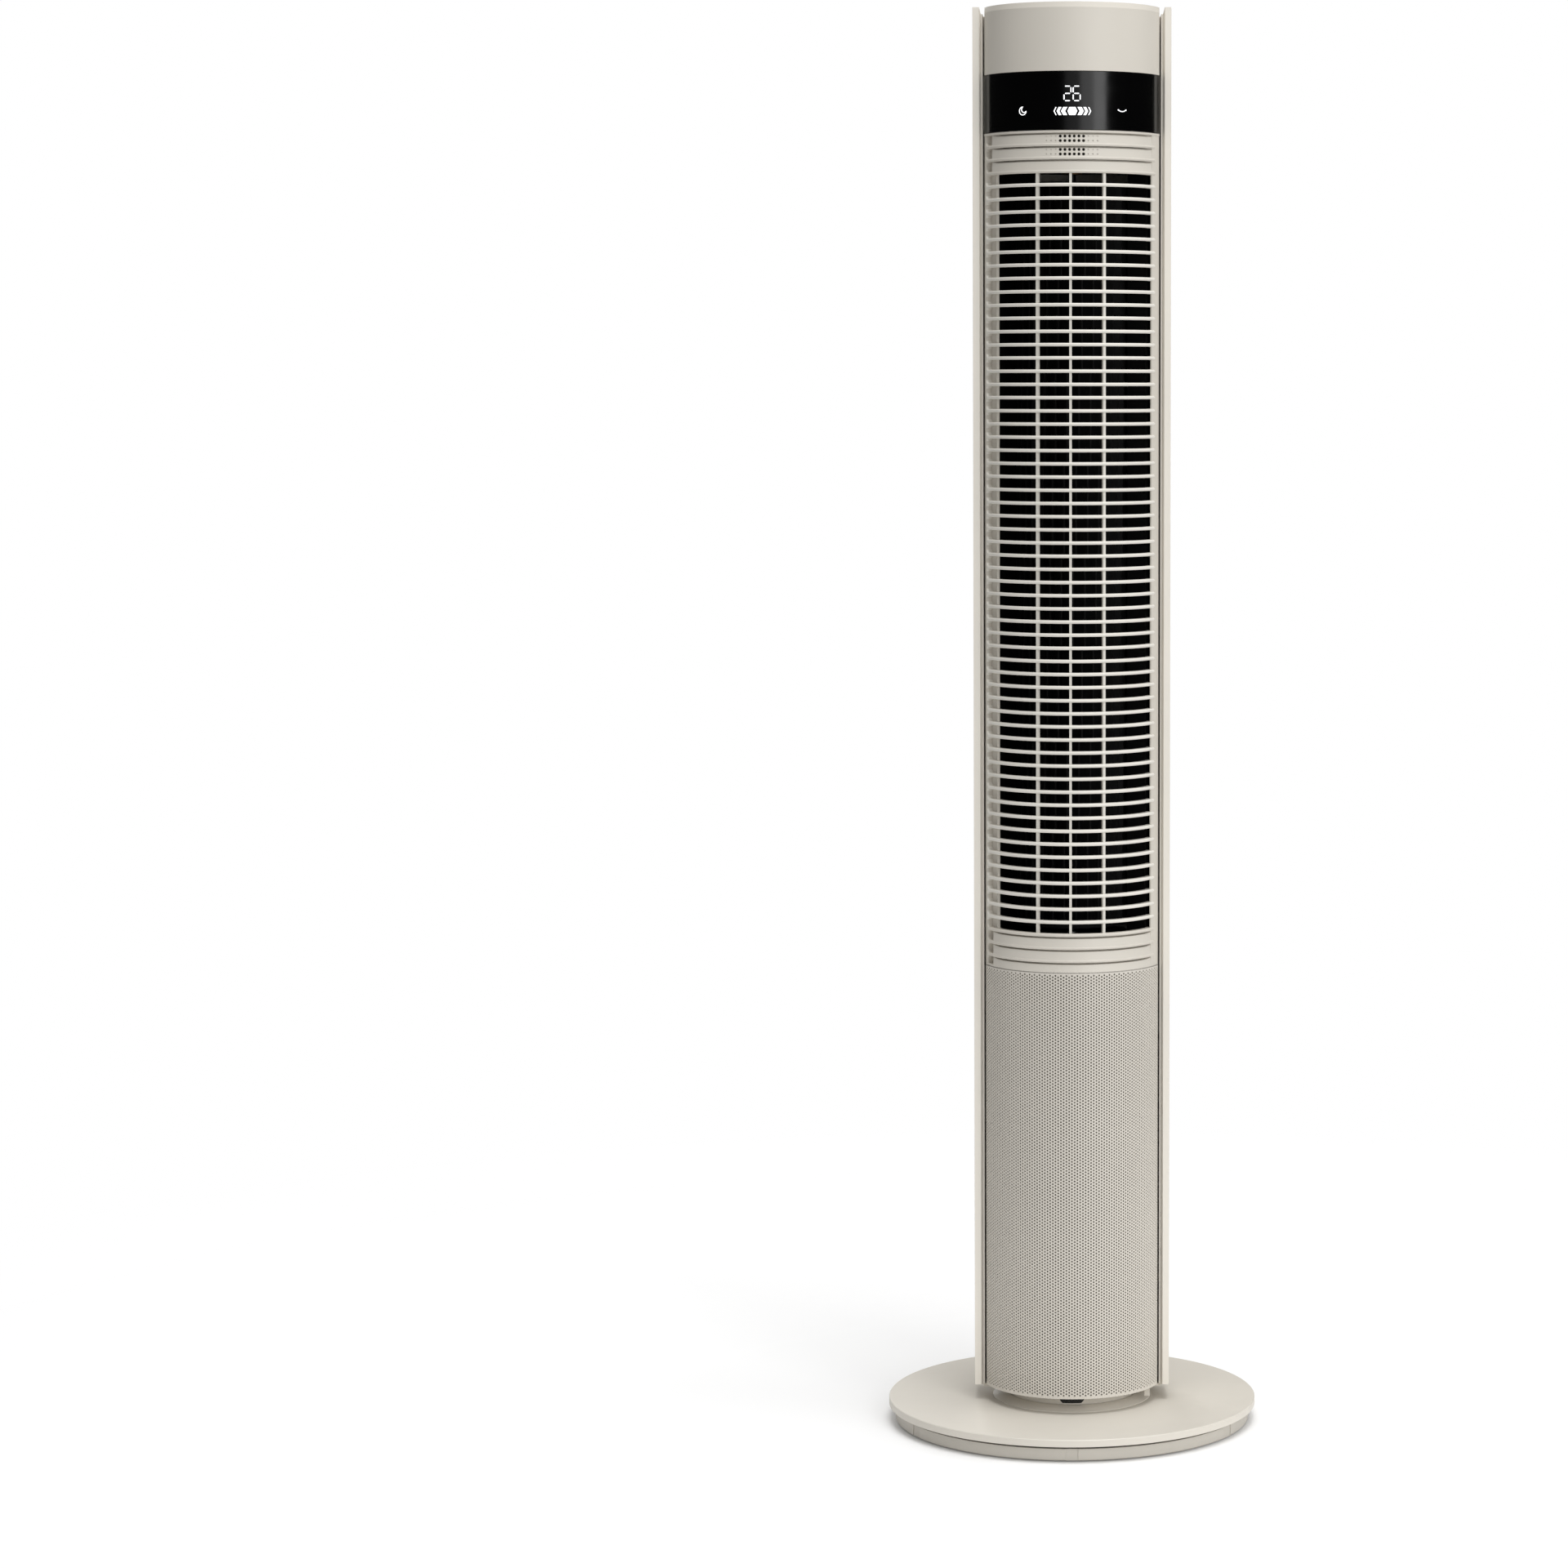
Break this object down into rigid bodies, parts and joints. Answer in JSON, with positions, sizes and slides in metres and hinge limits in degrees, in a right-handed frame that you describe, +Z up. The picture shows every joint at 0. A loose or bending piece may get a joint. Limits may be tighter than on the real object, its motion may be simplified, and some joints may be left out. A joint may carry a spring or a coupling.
{
  "type": "tower fan",
  "caption": "Slim oscillating tower fan: cross-flow blower behind a louvred outlet, touch display band, perforated lower panel, round weighted base.",
  "frame": {"origin": "centre of the base on the floor", "axes": "+Z up along the tower, -Y the side the air leaves from, +X to the viewer's right"},
  "size_m": [0.288, 0.288, 1.098],
  "materials": {
    "shell": "fine matte texture",
    "display": "polished black",
    "lit_figures": "translucent white, lit from behind",
    "black_plastic": "matte",
    "slide_plastic": "smooth moulded",
    "rubber": "matte",
    "zinc_steel": "zinc plated",
    "ballast": "as cast",
    "laminations": "stacked sheet",
    "bronze": "sintered",
    "board": "solder mask",
    "cable_jacket": "sleeved"
  },
  "bodies": {
    "base": {"base_plate": "shell", "base_tray": "shell", "base_collar": "shell", "ballast_ring": "ballast", "rubber_feet": "rubber", "tray_screws": "zinc_steel", "cable_gland": "black_plastic", "pivot_post": "zinc_steel", "post_screws": "zinc_steel", "swing_gear": "slide_plastic", "slide_ring": "slide_plastic", "thrust_washer": "slide_plastic", "retaining_ring": "zinc_steel"},
    "tower": {"tower_foot": "shell", "receiver_window": "display", "swing_motor": "zinc_steel", "swing_motor_screws": "zinc_steel", "foot_screws": "zinc_steel", "rear_housing": "shell", "rear_grille": "shell", "side_rail_left": "shell", "side_rail_right": "shell", "rail_screws": "zinc_steel", "lower_panel": "shell", "front_grille": "shell", "display_window": "display", "top_cap": "shell", "lower_bulkhead": "black_plastic", "upper_bulkhead": "black_plastic", "bulkhead_screws": "zinc_steel", "scroll_wall": "black_plastic", "vortex_wall": "black_plastic", "bearing_rubber": "rubber", "bearing_bush": "bronze", "motor_can": "zinc_steel", "motor_stator": "laminations", "motor_dampers": "rubber", "motor_screws": "zinc_steel", "power_board": "board", "power_components": "black_plastic", "board_standoffs": "zinc_steel", "board_screws": "zinc_steel", "display_board": "board", "display_bracket": "black_plastic", "digit_module": "lit_figures", "indicator_modules": "lit_figures", "touch_springs": "zinc_steel", "wiring_harness": "cable_jacket"},
    "impeller": {"impeller_segments": "black_plastic", "impeller_hub": "black_plastic", "impeller_end_disc": "black_plastic", "stub_shaft": "zinc_steel", "motor_shaft": "zinc_steel", "motor_rotor": "laminations", "hub_set_screw": "zinc_steel"},
    "swing_pinion": {"swing_pinion": "slide_plastic", "swing_motor_shaft": "zinc_steel"}
  },
  "joints": [
    {"name": "oscillation", "type": "hinge", "parent": "base", "child": "tower", "pos_m": [0, 0, 0.03], "axis": [0, 0, 1], "range_deg": [-40, 40]},
    {"name": "blower_spin", "type": "hinge", "parent": "tower", "child": "impeller", "pos_m": [0, 0.008, 0.6], "axis": [0, 0, 1], "continuous": true},
    {"name": "swing_pinion_turn", "type": "hinge", "parent": "tower", "child": "swing_pinion", "pos_m": [0, 0.036, 0.022], "axis": [0, 0, 1], "range_deg": [-125, 125]}
  ],
  "couplings": [
    {"joint": "swing_pinion_turn", "follows": "oscillation", "ratio": 3}
  ]
}
